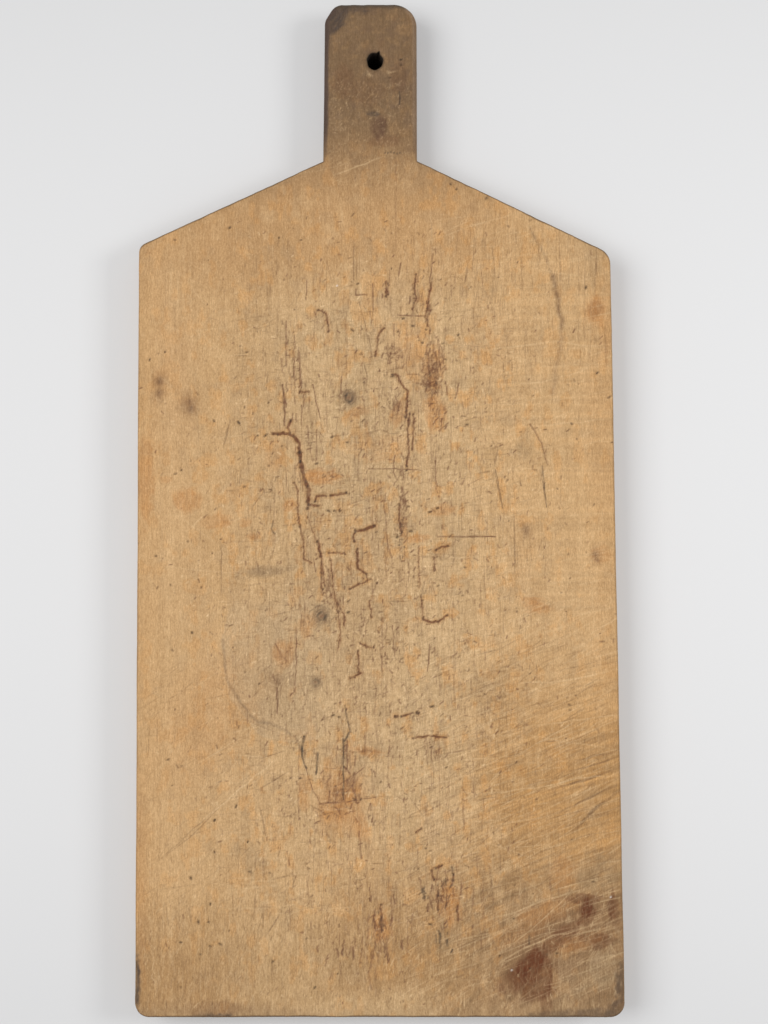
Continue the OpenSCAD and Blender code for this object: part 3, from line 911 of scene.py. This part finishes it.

# The hanging hole: its worn mouth, its wall painted near black (a dark stain with painted shade deep in the
# hole), and its mouth below
soot = srgb(30, 24, 20)
hole_rings = []
TOP_STRIP = (MOUTH, 2.4, 1.6)
for grow in TOP_STRIP:
    xy = hole_xy(grow, 0.0 if grow == MOUTH else 0.4)
    hole_rings.append(add(xy, lift(xy), 1.0))
for phi in np.radians([0, 30, 60, 90]):
    xy = hole_xy(MOUTH_R * (1 - math.sin(phi)))
    z = THICK - 0.2 - MOUTH_R * (1 - math.cos(phi))
    hole_rings.append(add(xy, z, 0.9, soot, 0.15 + 0.75 * math.sin(phi), 0.3))
for level in np.linspace(THICK - 2, 2, 8):
    hole_rings.append(add(hole_xy(0.05 * math.sin(level), level / THICK), level, 1, soot, 0.97, 0.4))
for phi in np.radians([90, 45, 0]):
    xy = hole_xy(MOUTH_R * (1 - math.sin(phi)), 0.0)
    hole_rings.append(add(xy, MOUTH_R * (1 - math.cos(phi)), 0.9, soot, 0.2 + 0.7 * math.sin(phi), 0.3))
mouth = hole_xy(MOUTH, 0.0)
hole_rings.append(add(mouth, 0.0))
turn = np.arange(HOLE_STEPS)
every = np.concatenate(points)
for n, (a, b) in enumerate(zip(hole_rings, hole_rings[1:])):
    quad = np.stack([a, np.roll(a, -1), np.roll(b, -1), b], 1)
    x, y, z = np.moveaxis(every[quad], -1, 0)
    on_top, below = n < len(TOP_STRIP), n >= len(hole_rings) - 2
    if on_top or below:
        uv = flat_uv(x, y, below)
    else:
        u = np.stack([turn, turn + 1, turn + 1, turn], 1)
        uv = np.stack([BORE_AT[0] + u / HOLE_STEPS * BORE_WIDE, BORE_AT[1] + z / HEIGHT_MAP], -1)
    add_faces(quad, uv)

inner = line - outward * RIM
fill(xs, ys, inner, rings[0][0], mouth, hole_rings[0], 0.4, lambda xy: add(xy, lift(xy)), False)
under_x = np.linspace(-SIDE, SIDE, round(2 * SIDE / UNDER_GRID) + 1)
under_y = np.linspace(FOOT, END, round((END - FOOT) / UNDER_GRID) + 1)


def underside(xy):
    """Flat, stained differently from the cutting face, and hardly cut."""
    x, y = -xy[:, 0], xy[:, 1]
    c = bare_wood(x, y) * 0.95
    spots = smooth(layered(x, y, 26, 40, 91) * 2 - 0.6)
    c = c + (srgb(120, 86, 58) - c) * 0.5 * spots[:, None]
    return add(xy, 0.05 + 0.05 * noise(x, y, 20, 40, 92), 1.0, c, 1.0, 0.1)


fill(under_x, under_y, inner, rings[-1][0], mouth, hole_rings[-1], 1.0, underside, True)

co = np.concatenate(points) * MM
corner_count = np.concatenate([np.full(len(f), f.shape[1]) for f in faces])
corners = np.concatenate([f.ravel() for f in faces])
uvs = np.concatenate([u.reshape(-1, 2) for u in face_uvs])
mesh = bpy.data.meshes.new("plank")
mesh.vertices.add(len(co))
mesh.vertices.foreach_set("co", co.astype(np.float32).ravel())
mesh.loops.add(len(corners))
mesh.loops.foreach_set("vertex_index", corners.astype(np.int32))
mesh.polygons.add(len(corner_count))
mesh.polygons.foreach_set("loop_start", np.concatenate([[0], np.cumsum(corner_count)[:-1]]).astype(np.int32))
mesh.update(calc_edges=True)
mesh.validate()
mesh.polygons.foreach_set("use_smooth", np.ones(len(mesh.polygons), bool))
rgba = np.clip(np.column_stack([np.concatenate(colours), np.ones(len(co))]), 0.002, 1)
for name, kind, key, values in [
    ("tone", "FLOAT_COLOR", "color", rgba.ravel()),
    ("dull", "FLOAT", "value", np.concatenate(sheen)),
    ("knifed", "FLOAT", "value", np.concatenate(cut_up)),
]:
    mesh.attributes.new(name, kind, "POINT").data.foreach_set(key, values.astype(np.float32))
uv_layer = mesh.uv_layers.new(name="OFBake")
uv_layer.uv.foreach_set("vector", uvs.astype(np.float32).ravel())
plank = bpy.data.objects.new("plank", mesh)
bpy.context.scene.collection.objects.link(plank)


# ---- Old, dry, scrubbed wood ----
def calc(tree, op, *values):
    """A Math node's output. Each value is a number or a socket."""
    node = tree.nodes.new("ShaderNodeMath")
    node.operation = op
    for socket, value in zip(node.inputs, values):
        if isinstance(value, (int, float)):
            socket.default_value = value
        else:
            tree.links.new(value, socket)
    return node.outputs[0]


def wood():
    m = bpy.data.materials.new("old_wood")
    m.use_nodes = True
    tree = m.node_tree
    nodes, links = tree.nodes, tree.links
    shader = nodes["Principled BSDF"]

    def make(kind, **inputs):
        n = nodes.new(kind)
        for key, value in inputs.items():
            if hasattr(n, key):
                setattr(n, key, value)
            else:
                n.inputs[key.replace("_", " ")].default_value = value
        return n

    place = make("ShaderNodeTexCoord").outputs["Object"]

    def grain(scale, detail, roughness=0.6, turn=0.0, distort=0.0):
        """Noise in features of the given size in mm, across and along the grain."""
        mapping = make("ShaderNodeMapping")
        mapping.inputs["Rotation"].default_value = (0, 0, math.radians(turn))
        mapping.inputs["Scale"].default_value = [1000 / s for s in scale]
        links.new(place, mapping.inputs["Vector"])
        n = make("ShaderNodeTexNoise", Scale=1.0, Detail=detail, Roughness=roughness, Distortion=distort)
        links.new(mapping.outputs[0], n.inputs["Vector"])
        return n.outputs["Fac"]

    fibre = grain((0.5, 15, 0.5), 3)
    dash = grain((0.42, 2.6, 0.42), 2, 0.7)
    across = grain((6.0, 0.5, 6.0), 2, 0.7, turn=3)
    streak = grain((2.6, 120, 2.6), 4, distort=0.3)
    mottle = grain((7, 13, 7), 6, 0.68)
    speck = grain((0.75, 0.9, 0.75), 3, 0.75)
    knifed = make("ShaderNodeAttribute", attribute_name="knifed").outputs["Fac"]

    def swing(value, amount):
        """Noise as a factor that goes above and below 1 by about the amount."""
        return calc(tree, "MULTIPLY_ADD", value, 2 * amount, 1 - amount)

    level = swing(fibre, 0.20)
    for value, amount in [(dash, 0.46), (streak, 0.10), (mottle, 0.17), (speck, 0.42)]:
        level = calc(tree, "MULTIPLY", level, swing(value, amount))
    crossing = calc(tree, "MULTIPLY", calc(tree, "SUBTRACT", across, 0.5), knifed)
    level = calc(tree, "MULTIPLY", level, calc(tree, "MULTIPLY_ADD", crossing, 0.3, 1.0))

    # Dark grain is browner than pale grain, so each channel has its own power
    tint = make("ShaderNodeCombineXYZ")
    for socket, power in zip(tint.inputs, (0.9, 1.05, 1.3)):
        links.new(calc(tree, "POWER", level, power), socket)
    painted = make("ShaderNodeAttribute", attribute_name="tone")
    grained = make("ShaderNodeVectorMath", operation="MULTIPLY")
    links.new(painted.outputs["Color"], grained.inputs[0])
    links.new(tint.outputs[0], grained.inputs[1])
    links.new(grained.outputs[0], shader.inputs["Base Color"])

    dull = make("ShaderNodeAttribute", attribute_name="dull").outputs["Fac"]
    rough = calc(tree, "MULTIPLY_ADD", mottle, 0.18, 0.56)
    rough = calc(tree, "ADD", rough, calc(tree, "MULTIPLY", dull, 0.3))
    links.new(calc(tree, "MINIMUM", rough, 0.95), shader.inputs["Roughness"])
    shader.inputs["Specular IOR Level"].default_value = 0.28

    bump = make("ShaderNodeBump", Strength=0.5, Distance=0.00010)
    height = calc(tree, "ADD", dash, calc(tree, "MULTIPLY", speck, 0.5))
    links.new(height, bump.inputs["Height"])
    links.new(bump.outputs[0], shader.inputs["Normal"])
    return m


mesh.materials.append(wood())
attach(plank, "root")
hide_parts("board")


# ---- Floor, light and camera ----
def seen(tree):
    """1 for what the camera sees, directly or in a reflection, and 0 for light."""
    path = tree.nodes.new("ShaderNodeLightPath")
    last = path.outputs["Is Camera Ray"]
    for name in ("Is Glossy Ray", "Is Transmission Ray"):
        last = calc(tree, "MAXIMUM", last, path.outputs[name])
    return last


def white_cloth():
    """A matt white floor, a little darker towards the left and the far ends, with a painted shadow under the
    hanging hole.
    """
    m = bpy.data.materials.new("floor_white")
    m.use_nodes = True
    tree = m.node_tree
    shader = tree.nodes["Principled BSDF"]
    place = tree.nodes.new("ShaderNodeTexCoord").outputs["Object"]
    split = tree.nodes.new("ShaderNodeSeparateXYZ")
    tree.links.new(place, split.inputs[0])

    x, y = split.outputs["X"], split.outputs["Y"]
    sideways = calc(tree, "MINIMUM", calc(tree, "MAXIMUM", x, -0.3), 0.3)
    ends = calc(tree, "MINIMUM", calc(tree, "MULTIPLY", y, y), 0.09)
    shade = calc(tree, "MULTIPLY_ADD", sideways, 0.15, 1.0)
    shade = calc(tree, "MULTIPLY_ADD", ends, -1.0, shade)
    # The floor under the hanging hole is painted black, as a painted shadow.
    near = calc(tree, "POWER", calc(tree, "SUBTRACT", y, HOLE[1] * MM), 2.0)
    near = calc(tree, "SQRT", calc(tree, "MULTIPLY_ADD", x, x, near))
    clear = calc(tree, "GREATER_THAN", near, HOLE_SHADOW_RADIUS)
    shade = calc(tree, "MULTIPLY", shade, clear)
    colour = tree.nodes.new("ShaderNodeVectorMath")
    colour.operation = "SCALE"
    colour.inputs[0].default_value = FLOOR_WHITE
    tree.links.new(shade, colour.inputs["Scale"])
    for name in ("Base Color", "Emission Color"):
        tree.links.new(colour.outputs[0], shader.inputs[name])
    tree.links.new(calc(tree, "MULTIPLY", seen(tree), FLOOR_GLOW), shader.inputs["Emission Strength"])
    shader.inputs["Roughness"].default_value = 0.9
    shader.inputs["Specular IOR Level"].default_value = 0.1
    return m


FLOOR_WHITE = (0.53, 0.53, 0.533)
FLOOR_GLOW = 0.42  # for the camera alone: it lights nothing
FLOOR_SIZE, FLOOR_GAP = 60, 0.0001
HOLE_SHADOW_RADIUS = 0.015  # radius of the painted shadow: the floor is painted black there, which only the hanging hole shows
bpy.ops.mesh.primitive_plane_add(size=FLOOR_SIZE, location=(0, 0, -FLOOR_GAP))
floor = bpy.context.object
floor.name = "floor"
floor.data.materials.append(white_cloth())

SKY_LIGHT, SKY_SEEN = 0.45, 0.78  # what it gives, and what the camera sees
world = bpy.data.worlds.new("studio")
bpy.context.scene.world = world
world.use_nodes = True
sky = world.node_tree.nodes["Background"]
sky.inputs["Color"].default_value = (1, 1, 1, 1)
brighter = world.node_tree.nodes.new("ShaderNodeMapRange")
brighter.inputs["To Min"].default_value = SKY_LIGHT
brighter.inputs["To Max"].default_value = SKY_SEEN
world.node_tree.links.new(seen(world.node_tree), brighter.inputs["Value"])
world.node_tree.links.new(brighter.outputs[0], sky.inputs["Strength"])


def softbox(name, azimuth, elevation, distance, size, power):
    """A square lamp that looks at the middle of the board. Azimuth 0 is +X."""
    lamp = bpy.data.lights.new(name, "AREA")
    lamp.shape = "SQUARE"
    lamp.size = size
    lamp.energy = power
    o = bpy.data.objects.new(name, lamp)
    a, e = math.radians(azimuth), math.radians(elevation)
    o.location = distance * Vector((math.cos(a) * math.cos(e), math.sin(a) * math.cos(e), math.sin(e)))
    o.rotation_euler = (-o.location).to_track_quat("-Z", "Y").to_euler()
    bpy.context.scene.collection.objects.link(o)


softbox("key_left", azimuth=174, elevation=52, distance=2.2, size=1.4, power=30)
softbox("fill_right", azimuth=6, elevation=40, distance=2.2, size=0.7, power=16)

FOCAL = 65.0
TILT, ROLL = math.radians(5.4), math.radians(0.44)
DISTANCE = 0.966
aim = Vector((0.0040, -0.0073, high.z))
forward = Vector((0, math.sin(TILT), -math.cos(TILT)))
right, up = Vector((1, 0, 0)), Vector((0, math.cos(TILT), math.sin(TILT)))
right, up = (
    right * math.cos(ROLL) - up * math.sin(ROLL),
    right * math.sin(ROLL) + up * math.cos(ROLL),
)
camera = bpy.data.objects.new("camera", bpy.data.cameras.new("camera"))
camera.data.lens = FOCAL
camera.data.sensor_width = 36
camera.data.clip_start = 0.05
turned = Matrix((right, up, -forward)).transposed().to_4x4()
camera.matrix_world = Matrix.Translation(aim - forward * DISTANCE) @ turned
bpy.context.scene.collection.objects.link(camera)
bpy.context.scene.camera = camera
bpy.context.scene.view_settings.view_transform = "Standard"
